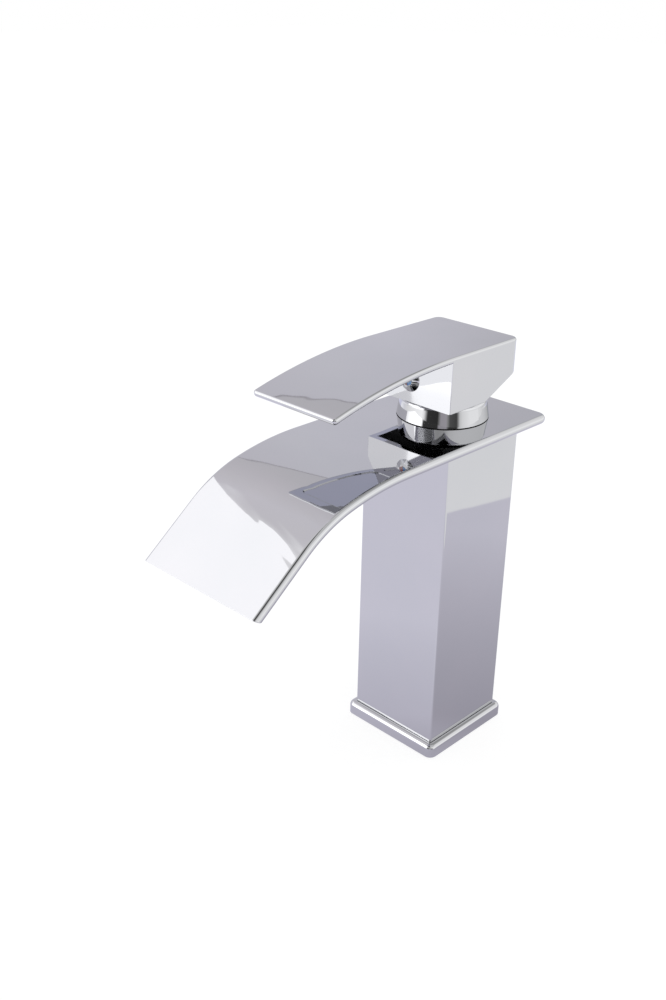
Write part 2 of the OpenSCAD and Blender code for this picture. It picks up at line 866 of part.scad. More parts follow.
module indicator_plug() {
    color("silver") at_button() difference() {
        union() {
            button_dome();
            translate([0, 0, -shank_len]) cylinder(r = shank_r, h = shank_len + button_rise / 4);
        }
        translate([0, 0, button_rise - mark_depth]) cylinder(r = mark_r + fit, h = button_rise);
    }
}

// Half of the coloured inlay, flush with the dome
module mark(side) {
    at_button() intersection() {
        button_dome();
        translate([0, 0, button_rise - mark_depth]) cylinder(r = mark_r, h = button_rise);
        translate([side > 0 ? mark_split / 2 : -mark_r - mark_split / 2, -mark_r, 0])
            cube([mark_r, 2 * mark_r, 2 * button_rise]);
    }
}

module cold_mark() { color("steelblue") mark(1); }
module hot_mark() { color("firebrick") mark(-1); }

base_flange();
deck_seal();
column_casing();
inlet_block();
hot_inlet_tube();
cold_inlet_tube();
tube_o_rings();
valve_body();
spout_top();
spout_underplate();
flow_guide();
cartridge_base();
port_seals();
disc_seals();
fixed_disc();
moving_disc();
disc_carrier();
cartridge_shell();
stem_rotor();
pivot_pin();
cartridge_stem();
retaining_nut();
trim_washer();
trim_ring();
handle_lever();
grub_screw();
indicator_plug();
cold_mark();
hot_mark();
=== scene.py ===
import bpy
import bmesh
import math
from mathutils import Matrix, Vector


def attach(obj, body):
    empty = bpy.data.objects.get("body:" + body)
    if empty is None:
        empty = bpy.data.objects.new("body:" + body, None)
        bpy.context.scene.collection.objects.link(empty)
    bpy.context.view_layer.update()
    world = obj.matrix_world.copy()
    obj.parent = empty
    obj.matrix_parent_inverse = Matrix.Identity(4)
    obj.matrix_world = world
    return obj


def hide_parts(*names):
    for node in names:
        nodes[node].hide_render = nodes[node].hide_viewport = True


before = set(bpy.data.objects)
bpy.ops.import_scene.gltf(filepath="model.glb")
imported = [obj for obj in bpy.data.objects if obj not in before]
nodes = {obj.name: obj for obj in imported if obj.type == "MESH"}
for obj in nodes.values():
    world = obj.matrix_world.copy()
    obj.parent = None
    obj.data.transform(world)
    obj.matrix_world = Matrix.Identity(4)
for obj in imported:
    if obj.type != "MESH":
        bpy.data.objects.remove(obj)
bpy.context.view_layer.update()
mm = 0.001


def linear(hexColour):
    parts = [int(hexColour[i:i + 2], 16) / 255 for i in (1, 3, 5)]
    return tuple(c / 12.92 if c <= 0.04045 else ((c + 0.055) / 1.055) ** 2.4 for c in parts) + (1,)


def addNode(tree, kind, settings=None, inputs=None):
    # an input is a plain value or another node's output, by its name or, where names repeat, its number
    node = tree.nodes.new(kind)
    for name, value in (settings or {}).items():
        setattr(node, name, value)
    for key, value in (inputs or {}).items():
        if isinstance(value, bpy.types.NodeSocket):
            tree.links.new(value, node.inputs[key])
        else:
            node.inputs[key].default_value = value
    return node


def newMaterial(name):
    mat = bpy.data.materials.new(name)
    mat.use_nodes = True
    mat.node_tree.nodes.clear()
    return mat, mat.node_tree


def layOver(tree, under, over, measure, start, end):
    # one colour turns to the other while the measure goes from start to end
    share = addNode(tree, "ShaderNodeMapRange", inputs={"Value": measure, "From Min": start, "From Max": end})
    return addNode(tree, "ShaderNodeMix", {"data_type": "RGBA"},
                   {0: share.outputs[0], 6: under, 7: over}).outputs[2]


# Camera solved from the photograph's straight edges: angles in radians, place in metres,
# focal length in pixels of a picture of that height
camera = {"focal": 1123.1, "pictureHeight": 1000, "sensor": 36, "yaw": 0.772905, "pitch": 0.433699,
          "roll": -0.0184093, "place": (0.26938, -0.33910, 0.30658)}


def makeCamera():
    yaw, pitch, roll = camera["yaw"], camera["pitch"], camera["roll"]
    view = Vector((-math.sin(yaw) * math.cos(pitch), math.cos(yaw) * math.cos(pitch), -math.sin(pitch)))
    side = Vector((math.cos(yaw), math.sin(yaw), 0))
    down = view.cross(side)
    across = math.cos(roll) * side + math.sin(roll) * down
    downward = -math.sin(roll) * side + math.cos(roll) * down
    data = bpy.data.cameras.new("photoCamera")
    data.sensor_fit = "VERTICAL"
    data.sensor_height = camera["sensor"]
    data.lens = camera["sensor"] * camera["focal"] / camera["pictureHeight"]
    obj = bpy.data.objects.new("photoCamera", data)
    bpy.context.scene.collection.objects.link(obj)
    turn = Matrix((across, -downward, -view)).transposed().to_4x4()
    obj.matrix_world = Matrix.Translation(Vector(camera["place"])) @ turn
    bpy.context.scene.camera = obj
    print("camera placed")


# Studio: what a mirror finish sees around it. Each list gives (azimuth in degrees from the x axis,
# tone), and a tone is a radiance, where 1 is the white backdrop. The bright panels stand front left,
# the unlit room with the camera front right, a white reflector right and a lavender wall behind.
# "middle" and "high" take over from "low" between the elevations beside them, "far" is the floor
# beyond the table
wallSide = ((135, (0.67, 0.66, 0.70)), (150, (0.74, 0.72, 0.76)), (160, (0.79, 0.76, 0.81)),
            (172, (0.86, 0.83, 0.88)), (180, (0.90, 0.87, 0.93)))
studio = {
    "gain": 3.0, "backdrop": 1.0, "fill": 0.8, "middleFrom": (12, 22), "highFrom": (41, 47),
    "low": ((-180, (0.90, 0.87, 0.93)), (-178, (1.30, 1.30, 1.34)), (-165, 1.5), (-150, 1.85), (-140, 2.3),
            (-134, 2.75), (-103, 2.75), (-97, 0.06), (-62, 0.05), (-58, (0.47, 0.45, 0.49)),
            (-41, (0.50, 0.48, 0.52)), (-36, 0.1), (-32, 0.05), (-15, 0.06), (-9, 1.0), (0, 1.3), (15, 1.5),
            (30, 1.5), (45, 1.35), (60, 1.4), (75, 1.3), (85, 1.15), (95, 0.95), (104, 0.62),
            (115, 0.6)) + wallSide,
    "middle": ((-180, (0.90, 0.87, 0.93)), (-178, (1.30, 1.30, 1.34)), (-165, 1.5), (-150, 1.85), (-140, 2.3),
               (-134, 2.75), (-103, 2.75), (-96, 1.1), (-88, 0.75), (-60, 0.62), (-45, 0.7), (-30, 1.1),
               (-15, 1.2), (0, 1.25), (30, 1.25), (60, 1.2), (95, 1.05), (104, 0.85), (115, 0.6)) + wallSide,
    "high": ((-180, (0.90, 0.87, 0.93)), (-165, (0.90, 0.87, 0.92)), (-150, (0.97, 0.96, 0.99)), (-140, 0.85),
             (-130, 0.85), (-115, 0.7), (-105, 0.3), (-98, 0.1), (-62, 0.1), (-50, 0.5), (-40, 0.8),
             (-15, 0.84), (0, 0.75), (30, 0.88), (45, 0.8), (60, 0.65), (75, 0.55), (90, 0.48), (105, 0.37),
             (120, 0.6)) + wallSide,
    "far": ((-180, (0.86, 0.88, 0.98)), (-165, (1.0, 1.0, 1.07)), (-150, 1.15), (-135, 1.30), (-120, 1.43),
            (-103, 1.5), (-97, 1.2), (-92, 0.5), (-88, 0.05), (-62, 0.04), (-58, 0.25),
            (-54, (0.47, 0.45, 0.49)), (-41, (0.50, 0.48, 0.52)), (-37, 0.35), (-32, 0.12), (-15, 0.08),
            (-11, 0.4), (-7, 0.9), (0, 1.1), (20, 1.3), (45, 1.3), (60, 1.1), (75, 0.95), (90, 0.63),
            (105, 0.6), (120, 0.7), (150, 0.72), (165, (0.73, 0.77, 0.83)), (180, (0.86, 0.88, 0.98))),
    "wall": ((-180, (0.84, 0.83, 0.9)), (-150, (0.84, 0.83, 0.9)), (104, (0.5, 0.53, 0.6)),
             (115, (0.60, 0.61, 0.66)), (125, (0.68, 0.67, 0.73)), (132, (0.77, 0.76, 0.84)),
             (142, (0.81, 0.80, 0.87)), (155, (0.80, 0.78, 0.85)), (180, (0.84, 0.83, 0.9))),
}


def paint(tone):
    # a radiance as a colour below 1, which a strength of "gain" brings back
    rgb = tone if isinstance(tone, tuple) else (tone,) * 3
    return tuple(c / studio["gain"] for c in rgb) + (1,)


def around(tree, stops, vector):
    # colour by the azimuth of a direction or place
    apart = addNode(tree, "ShaderNodeSeparateXYZ", inputs={"Vector": vector}).outputs
    turn = addNode(tree, "ShaderNodeMath", {"operation": "ARCTAN2"}, {0: apart["Y"], 1: apart["X"]})
    share = addNode(tree, "ShaderNodeMapRange",
                    inputs={"Value": turn.outputs[0], "From Min": -math.pi, "From Max": math.pi})
    node = addNode(tree, "ShaderNodeValToRGB", inputs={"Fac": share.outputs[0]})
    ramp = node.color_ramp
    while len(ramp.elements) < len(stops):
        ramp.elements.new(0.5)
    for stop, (azimuth, tone) in zip(ramp.elements, sorted(stops)):
        stop.position = (azimuth + 180) / 360
        stop.color = paint(tone)
    return node.outputs["Color"]


def glossyOnly(tree, shown, mirrored):
    # what the camera and soft light meet, and what a mirror shows instead
    glossy = addNode(tree, "ShaderNodeLightPath").outputs["Is Glossy Ray"]
    return addNode(tree, "ShaderNodeMixShader", inputs={0: glossy, 1: shown, 2: mirrored}).outputs[0]


def makeWorld():
    world = bpy.data.worlds.new("studio")
    bpy.context.scene.world = world
    world.use_nodes = True
    tree = world.node_tree
    tree.nodes.clear()
    path = addNode(tree, "ShaderNodeLightPath").outputs
    seen = addNode(tree, "ShaderNodeMath", {"operation": "MAXIMUM"},
                   {0: path["Is Camera Ray"], 1: path["Is Transmission Ray"]})
    white = linear("#FFFFFF")
    fill, backdrop = (addNode(tree, "ShaderNodeBackground", inputs={"Color": white, "Strength": studio[key]})
                      for key in ("fill", "backdrop"))
    shown = addNode(tree, "ShaderNodeMixShader",
                    inputs={0: seen.outputs[0], 1: fill.outputs[0], 2: backdrop.outputs[0]})
    way = addNode(tree, "ShaderNodeTexCoord").outputs["Generated"]
    upward = addNode(tree, "ShaderNodeSeparateXYZ", inputs={"Vector": way}).outputs["Z"]
    colour = around(tree, studio["low"], way)
    for band in ("middle", "high"):
        start, end = (math.sin(math.radians(elevation)) for elevation in studio[band + "From"])
        colour = layOver(tree, colour, around(tree, studio[band], way), upward, start, end)
    mirrored = addNode(tree, "ShaderNodeBackground", inputs={"Color": colour, "Strength": studio["gain"]})
    addNode(tree, "ShaderNodeOutputWorld",
            inputs={"Surface": glossyOnly(tree, shown.outputs[0], mirrored.outputs[0])})


# Table under the tap, seen only in reflections: a lavender sheet with painted light and shade, darker near the
# foot and behind right where the tap's shadow is painted, lighter front left where the panels' light is
# painted, that ends right and front left.
# "front" and "back" turn from the painted shadow's tone near the foot to the open one between two distances.
# A zone lies in a direction, from the first distance along it, and is full at the second
table = {
    "half": 6, "below": 0.4, "shade": 0.3, "glow": 0.8,
    # painted shadow: the near tones, darker than the open ones, are the tap's shadow around the foot
    "front": ((0.76, 0.74, 0.86), (0.95, 0.93, 1.06), 0.03, 0.12),
    "back": ((0.52, 0.50, 0.58), (0.85, 0.83, 0.94), 0.03, 0.22),
    "zones": (((0.70, 0.714, 0), -0.03, 0.03, "back"), ((-0.86, 0.5, 0), 0.12, 0.24, (0.84, 0.85, 1.04)),
              ((0.968, 0.252, 0), 0.2115, 0.2135, (1.10, 1.10, 1.12)),
              ((-0.6, -0.8, 0), 0.36, 0.42, (1.42, 1.43, 1.47))),
    "far": (0.65, 0.85),
}


def makeFloor():
    half, z, shade = table["half"], -table["below"] * mm, table["shade"]
    mesh = bpy.data.meshes.new("floor")
    corners = [(-half, -half, z), (half, -half, z), (half, half, z), (-half, half, z)]
    mesh.from_pydata(corners, [], [(0, 1, 2, 3)])
    obj = bpy.data.objects.new("floor", mesh)
    bpy.context.scene.collection.objects.link(obj)
    mat, tree = newMaterial("pale studio floor")
    matt = addNode(tree, "ShaderNodeBsdfDiffuse", inputs={"Color": (shade, shade, shade, 1)})
    glow = addNode(tree, "ShaderNodeEmission", inputs={"Color": linear("#FFFFFF"), "Strength": table["glow"]})
    shown = addNode(tree, "ShaderNodeAddShader", inputs={0: matt.outputs[0], 1: glow.outputs[0]})
    place = addNode(tree, "ShaderNodeNewGeometry").outputs["Position"]
    reach = addNode(tree, "ShaderNodeVectorMath", {"operation": "LENGTH"}, {0: place}).outputs["Value"]
    sheet = {}
    # painted shade: the tap's shadow darkens the mirrored sheet near the foot, most of all behind right
    for side in ("front", "back"):
        near, away, start, end = table[side]
        sheet[side] = layOver(tree, paint(near), paint(away), reach, start, end)
    board = sheet["front"]
    for direction, start, end, tone in table["zones"]:
        along = addNode(tree, "ShaderNodeVectorMath", {"operation": "DOT_PRODUCT"}, {0: place, 1: direction})
        over = sheet["back"] if tone == "back" else paint(tone)
        board = layOver(tree, board, over, along.outputs["Value"], start, end)
    board = layOver(tree, board, around(tree, studio["far"], place), reach, *table["far"])
    mirrored = addNode(tree, "ShaderNodeEmission", inputs={"Color": board, "Strength": studio["gain"]})
    addNode(tree, "ShaderNodeOutputMaterial",
            inputs={"Surface": glossyOnly(tree, shown.outputs[0], mirrored.outputs[0])})
    mesh.materials.append(mat)


# Cards that stand in the reflections only, square to an azimuth at a distance from "aim", in metres.
# The wall's top edge stands at 38 degrees from the spout's plate, which mirrors it, and a seam caps it
wallTop = 0.145 + 1.5 * math.tan(math.radians(38))
cards = {
    "lavenderWall": {"azimuth": 150, "distance": 1.5, "heights": (0, wallTop), "sides": (-1.55, 2.6),
                     "tone": "wall"},
    "wallSeam": {"azimuth": 150, "distance": 1.495, "heights": (wallTop - 0.008, wallTop + 0.002),
                 "sides": (-1.55, 2.6), "tone": (0.5, 0.48, 0.52)},
    "keySoftbox": {"azimuth": -162, "distance": 1.0, "heights": (0.45, 1.137), "sides": (-0.30, 0.60),
                   "tone": (1.66, 1.65, 1.68)},
}
aim = (0, -0.05, 0)


def makeCard(name, azimuth, distance, heights, sides, tone):
    a = math.radians(azimuth)
    out = Vector((math.cos(a), math.sin(a), 0))
    across = Vector((-out.y, out.x, 0))
    base = Vector(aim) + out * distance
    (left, right), (low, high) = sides, heights
    corners = [base + across * s + Vector((0, 0, z))
               for s, z in ((left, low), (right, low), (right, high), (left, high))]
    mesh = bpy.data.meshes.new(name)
    mesh.from_pydata(corners, [], [(0, 1, 2, 3)])
    obj = bpy.data.objects.new(name, mesh)
    bpy.context.scene.collection.objects.link(obj)
    mat, tree = newMaterial(name)
    if tone in studio:
        place = addNode(tree, "ShaderNodeNewGeometry").outputs["Position"]
        colour = around(tree, studio[tone], place)
    else:
        colour = paint(tone)
    glow = addNode(tree, "ShaderNodeEmission", inputs={"Color": colour, "Strength": studio["gain"]})
    addNode(tree, "ShaderNodeOutputMaterial", inputs={"Surface": glow.outputs[0]})
    mesh.materials.append(mat)
    obj.visible_camera = obj.visible_shadow = obj.visible_diffuse = False


def weld(mesh):
    work = bmesh.new()
    work.from_mesh(mesh)
    bmesh.ops.remove_doubles(work, verts=work.verts, dist=1e-7)
    bmesh.ops.recalc_face_normals(work, faces=work.faces)
    work.to_mesh(mesh)
    work.free()


def makeObject(name, verts, faces, body=None, slotName=None, standsFor=None):
    # corners in mm; without a body it is a cutter, used up by combine
    mesh = bpy.data.meshes.new(name)
    mesh.from_pydata([Vector(v) * mm for v in verts], [], faces)
    weld(mesh)
    obj = bpy.data.objects.new(name, mesh)
    bpy.context.scene.collection.objects.link(obj)
    if body:
        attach(obj, body)
        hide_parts(standsFor)
    return obj


def polish(obj, sharpFrom=35):
    # smooth faces, sharp edges where the surface turns a corner, flats kept flat in the reflection
    work = bmesh.new()
    work.from_mesh(obj.data)
    for face in work.faces:
        face.smooth = True
    for edge in work.edges:
        edge.smooth = edge.calc_face_angle(0) < math.radians(sharpFrom)
    work.to_mesh(obj.data)
    work.free()
    obj.modifiers.new("flat faces stay flat", "WEIGHTED_NORMAL").keep_sharp = True
    print(obj.name, len(obj.data.vertices))


def combine(obj, tool):
    # take the tool out of the object
    mod = obj.modifiers.new("cut", "BOOLEAN")
    mod.object, mod.operation, mod.solver = tool, "DIFFERENCE", "EXACT"
    graph = bpy.context.evaluated_depsgraph_get()
    mesh = bpy.data.meshes.new_from_object(obj.evaluated_get(graph))
    obj.modifiers.clear()
    obj.data = mesh
    bpy.data.objects.remove(tool)


def quarter(steps):
    return [math.pi / 2 * k / steps for k in range(steps + 1)]


def shell(stations, place, base=0, openEnds=(False, False)):
    # stations are half outlines of (length, x, depth), mirrored in x = 0 and joined along both sides
    # and across top and bottom; "at" gives a corner's number, counted from base
    count, total = len(stations[0]), len(stations)
    verts = [place(s, side * x, d) for side in (1, -1) for ring in stations for s, x, d in ring]

    def at(side, i, k):
        return base + side * total * count + i * count + k

    faces = [(at(side, i, k), at(side, i + 1, k), at(side, i + 1, k + 1), at(side, i, k + 1))
             for side in (0, 1) for i in range(total - 1) for k in range(count - 1)]
    faces += [(at(0, i, k), at(0, i + 1, k), at(1, i + 1, k), at(1, i, k))
              for i in range(total - 1) for k in (0, count - 1)]
    for i, isOpen in zip((0, total - 1), openEnds):
        if not isOpen:
            faces += [(at(0, i, k), at(0, i, k + 1), at(1, i, k + 1), at(1, i, k)) for k in range(count - 1)]
    return verts, faces, at


def drum(name, r, start, end, lyingAt=None, count=96):
    # upright, or lying along y at that height
    turns = [2 * math.pi * k / count for k in range(count)]
    if lyingAt is None:
        verts = [(r * math.cos(a), r * math.sin(a), z) for z in (start, end) for a in turns]
    else:
        verts = [(r * math.cos(a), y, lyingAt + r * math.sin(a)) for y in (start, end) for a in turns]
    faces = [(k, (k + 1) % count, count + (k + 1) % count, count + k) for k in range(count)]
    faces += [tuple(range(count)), tuple(range(count, 2 * count))]
    return makeObject(name, verts, faces)


def box(name, low, high):
    verts = [(x, y, z) for z in (low[2], high[2]) for y in (low[1], high[1]) for x in (low[0], high[0])]
    faces = [(0, 1, 3, 2), (4, 5, 7, 6), (0, 1, 5, 4), (2, 3, 7, 6), (0, 2, 6, 4), (1, 3, 7, 5)]
    return makeObject(name, verts, faces)


# Spout plate, in mm: its outline is laid out flat and folded along the two bends of the CAD solid.
# A bend is (radius, degrees); channel and rebate are (start, end, half width, top, bottom), and the nut
# hole and the boss (radius, bottom, top)
spout = {"half": 30.5, "thick": 3.8, "back": 31.8, "corner": 4.5, "top": 147, "flat": 55,
         "bends": ((124, 14), (59, 24)), "drop": 28.6, "lipTurn": 24, "lipRound": 0.3,
         "rimSteps": 20, "cornerSteps": 14, "lipSteps": 4, "firstRow": -15, "lastRow": 3,
         "channel": (11.97, 135.01, 25.7, 1, 3.3), "rebate": (10.77, 135.0, 26.9, 2.8, 5),
         "nutHole": (18.05, 135, 150), "boss": (19.45, 138, 146.5)}


def alongSpout(s, x, depth):
    # s runs forward from the column's axis on the top face, depth goes down from it
    y, z, turn, rest = -min(s, spout["flat"]), spout["top"], 0.0, s - spout["flat"]
    for r, degrees in spout["bends"]:
        if rest > 0:
            step = min(rest / r, math.radians(degrees))
            y -= r * (math.sin(turn + step) - math.sin(turn))
            z -= r * (math.cos(turn) - math.cos(turn + step))
            turn += step
            rest -= r * math.radians(degrees)
    rest = max(rest, 0)
    y -= rest * math.cos(turn)
    z -= rest * math.sin(turn)
    return x, y + depth * math.sin(turn), z - depth * math.cos(turn)


def spoutRows(start, end):
    # one row for each degree of the bends
    rows, at = [start], spout["flat"]
    for r, degrees in spout["bends"]:
        rows += [at + r * math.radians(k) for k in range(degrees)]
        at += r * math.radians(degrees)
    return [s for s in rows + [at] if start <= s < end] + [end]


def spoutRun(name, start, end, half, top, bottom):
    # cutter with a plain section that follows the spout
    stations = [[(s, half, top), (s, half, bottom)] for s in spoutRows(start, end)]
    return makeObject(name, *shell(stations, alongSpout)[:2])


def makeSpout():
    half, r, back, lipR = spout["half"], spout["corner"], spout["back"], spout["lipRound"]
    rail = spout["thick"] / 2
    length = spout["flat"] + sum(q * math.radians(a) for q, a in spout["bends"]) + spout["drop"]
    slope = math.tan(math.radians(spout["lipTurn"]))
    levels = [math.pi / 2 - math.pi * k / spout["rimSteps"] for k in range(spout["rimSteps"] + 1)]
    stations = []
    for turn in quarter(spout["cornerSteps"]):
        stations.append([(r - back - (r - rail * (1 - math.cos(a))) * math.cos(turn),
                          half - r + (r - rail * (1 - math.cos(a))) * math.sin(turn),
                          rail * (1 - math.sin(a))) for a in levels])
    for s in spoutRows(spout["firstRow"], length - spout["lastRow"])[:-1]:
        stations.append([(s, half - rail * (1 - math.cos(a)), rail * (1 - math.sin(a))) for a in levels])
    for turn in quarter(spout["lipSteps"]):
        thin = rail - lipR * (1 - math.cos(turn))
        short = lipR * (1 - math.sin(turn))
        stations.append([(length - (rail - thin * math.sin(a)) * slope - short,
                          half - rail + thin * math.cos(a), rail - thin * math.sin(a)) for a in levels])
    verts, faces, at = shell(stations, alongSpout, openEnds=(False, True))
    count, last = len(levels), len(stations) - 1
    faces.append([at(0, last, k) for k in range(count)] + [at(1, last, k) for k in reversed(range(count))])
    obj = makeObject("spout_plate", verts, faces, "root", "chrome_brass", "spout_top")
    for key in ("channel", "rebate"):
        tool = spoutRun(key, *spout[key])
        combine(tool, drum("boss", *spout["boss"]))
        combine(obj, tool)
    combine(obj, drum("nut hole", *spout["nutHole"]))
    polish(obj)


# Foot, in mm: rings of one rounded square, up the outside, over the edge and back through the opening
foot = {"half": 25.2, "high": 6.1, "corner": 3.4, "edge": 2.3, "under": 0.25,
        "cornerSteps": 12, "edgeSteps": 10, "plinth": (21.9, 1), "plinthTop": 6.4, "hole": (18.2, 2.1),
        "sealIn": (20.35, 2), "sealOut": (22.95, 4.6), "sealHigh": 1.5}


def squareRing(half, corner, z):
    ring = []
    for turn, (sx, sy) in enumerate(((1, 1), (-1, 1), (-1, -1), (1, -1))):
        for a in quarter(foot["cornerSteps"]):
            a += math.pi / 2 * turn
            ring.append((sx * (half - corner) + corner * math.cos(a),
                         sy * (half - corner) + corner * math.sin(a), z))
    return ring


def makeFoot():
    half, corner, edge, under, high = (foot[key] for key in ("half", "corner", "edge", "under", "high"))
    profile = [(half - under, corner - under, 0), (half, corner, under)]
    for a in quarter(foot["edgeSteps"]):
        inset = edge * (1 - math.cos(a))
        profile.append((half - inset, corner - inset, high - edge * (1 - math.sin(a))))
    profile += [foot[key] + (z,) for key, z in (("plinth", high), ("plinth", foot["plinthTop"]),
                                                ("hole", foot["plinthTop"]), ("hole", 0), ("sealIn", 0),
                                                ("sealIn", foot["sealHigh"]), ("sealOut", foot["sealHigh"]),
                                                ("sealOut", 0))]
    rings = [squareRing(*step) for step in profile]
    n = len(rings[0])
    faces = []
    for i in range(len(rings)):
        j = (i + 1) % len(rings)
        faces += [(i * n + k, i * n + (k + 1) % n, j * n + (k + 1) % n, j * n + k) for k in range(n)]
    verts = [v for ring in rings for v in ring]
    polish(makeObject("foot_plate", verts, faces, "root", "chrome_brass", "base_flange"))


# Handle, in mm: block and curved lever in one casting. Depths go down from the flat top at z = "top".
# The recess under the lever is (start, end, half width, corner, depth), and its slope gives (inset,
# depth) as shares of that depth. The hollow of the block is (half width, front, back, top), a boss or
# socket (half width, height) and the shank's bore (radius, depth)
handle = {"half": 21, "top": 179.8, "front": 21.5, "back": 19.8, "backCorner": 3.5, "leverR": 239,
          "turn": 0.25380, "nose": 3.2, "noseCorner": 1.6, "topEdge": 1, "lowEdge": 1.4, "thick": 2.7,
          "floor": 157.2, "rise": 25, "blockEdge": 0.5, "floorEdge": 0.35, "step": 1.6, "edgeSteps": 6,
          "cornerSteps": 10, "frontSteps": 4, "floorSteps": 3, "blockRows": (-8, 0, 10), "rowMargin": 4,
          "lap": 0.2,
          "recess": (24.0, 78.4, 17.6, 3, 0.8), "recessSlope": ((1.2, 1), (0.5, 0.8), (0, 0), (-0.75, -1.25)),
          "recessGap": 0.5, "hollow": (18.2, -18.7, 17.0, 176.8),
          "boss": (7, 159.2), "socket": (4.05, 171.15), "screwHigh": 166.5, "screwBoss": 4.6,
          "screw": 2.55, "shank": (3.0, 18.45), "below": 150, "above": 190, "ahead": -30, "drumCount": 64}


def alongLever(s, x, depth):
    y, z, turn = -min(s, handle["front"]), handle["top"], 0.0
    past = s - handle["front"]
    if past > 0:
        r = handle["leverR"]
        turn = min(past / r, handle["turn"])
        rest = past - turn * r
        y -= r * math.sin(turn) + rest * math.cos(turn)
        z -= r * (1 - math.cos(turn)) + rest * math.sin(turn)
    return x, y + depth * math.sin(turn), z - depth * math.cos(turn)


def leverRecess():
    # cutter for the recess under the lever, with a sloping margin and one corner radius all round
    start, end, half, corner, rise = handle["recess"]
    thick, step = handle["thick"], handle["step"]
    levels = [(rise * inset, thick - rise * deep) for inset, deep in handle["recessSlope"]]
    stations = [[(start + corner - (corner - e) * math.cos(a), half - corner + (corner - e) * math.sin(a), d)
                 for e, d in levels] for a in quarter(handle["edgeSteps"])]
    s = start + corner + step
    while s < end - corner - handle["recessGap"]:
        stations.append([(s, half - e, d) for e, d in levels])
        s += step
    stations += [[(end - corner + (corner - e) * math.sin(a), half - corner + (corner - e) * math.cos(a), d)
                  for e, d in levels] for a in quarter(handle["edgeSteps"])]
    return makeObject("recess", *shell(stations, alongLever)[:2])


def handleHollow():
    # cutter for the hollow of the block, less the stem's boss and the set screw's
    half, front, back, top = handle["hollow"]
    tool = box("hollow", (-half, front, handle["below"]), (half, back, top))
    w, z = handle["boss"]
    combine(tool, box("boss", (-w, -w, z), (w, w, handle["above"])))
    combine(tool, lyingDrum("screw boss", handle["screwBoss"]))
    return tool


def lyingDrum(name, r, end=0):
    return drum(name, r, handle["ahead"], end, handle["screwHigh"], handle["drumCount"])


def makeHandle():
    h, steps = handle, handle["edgeSteps"]
    half, corner, low, thick = h["half"], h["backCorner"], h["lowEdge"], h["thick"]
    upper = [(h["topEdge"] * (1 - math.sin(a)), h["topEdge"] * (1 - math.cos(a))) for a in quarter(steps)]
    upper.append((0, thick - low))
    lever = upper + [(low * (1 - math.cos(a)), thick - low + low * math.sin(a)) for a in quarter(steps)[1:]]

    def blockSide(place, edge=0):
        # levels down one side of the block; place(e) gives (s, x) at an inset, edge is the front edge's
        side = [place(e) + (d,) for e, d in upper]
        side.append(place(edge) + (thick + h["lap"],))
        for a in quarter(h["floorSteps"]):
            s, x = place(edge + h["floorEdge"] * (1 - math.cos(a)))
            ground = h["top"] - h["floor"] - max(-s, 0) * math.tan(math.radians(h["rise"]))
            side.append((s, x, ground - h["floorEdge"] * (1 - math.sin(a))))
        return side

    block = [blockSide(lambda e, a=a: (corner - h["back"] - (corner - e) * math.cos(a),
                                       half - corner + (corner - e) * math.sin(a)))
             for a in quarter(h["cornerSteps"])]
    block += [blockSide(lambda e, s=s: (s, half - e)) for s in h["blockRows"]]
    for a in quarter(h["frontSteps"]):
        s = h["front"] - h["blockEdge"] * (1 - math.sin(a))
        block.append(blockSide(lambda e, s=s: (s, half - e), h["blockEdge"] * (1 - math.cos(a))))
    verts, faces, at = shell(block, alongLever, openEnds=(False, True))

    reach = h["front"] + h["leverR"] * h["turn"] + h["nose"]
    rows, s = [], h["front"]
    while s < reach - h["rowMargin"]:
        rows.append(s)
        s += h["step"]
    free = [[(s, half - e, d) for e, d in lever] for s in rows + [reach - h["nose"]]]
    r = h["noseCorner"]
    free += [[(reach - r + (r - e) * math.sin(a), half - r + (r - e) * math.cos(a), d) for e, d in lever]
             for a in quarter(steps)]
    more, sides, atLever = shell(free, alongLever, len(verts), (True, False))

    # the block's front joins the lever's underside in one face
    last, first = len(block) - 1, len(upper) - 1
    front, below = range(first, len(block[0])), range(first + 1, len(lever))
    faces += sides
    faces.append([at(0, last, k) for k in front] + [at(1, last, k) for k in reversed(front)]
                 + [atLever(1, 0, k) for k in below] + [atLever(0, 0, k) for k in reversed(below)])
    obj = makeObject("handle_casting", verts + more, faces, "lever", "chrome_zinc", "handle_lever")
    combine(obj, leverRecess())
    combine(obj, handleHollow())
    w, z = h["socket"]
    combine(obj, box("socket", (-w, -w, h["below"]), (w, w, z)))
    combine(obj, lyingDrum("screw bore", h["screw"]))
    r, deep = h["shank"]
    combine(obj, lyingDrum("shank bore", r, -deep))
    polish(obj)


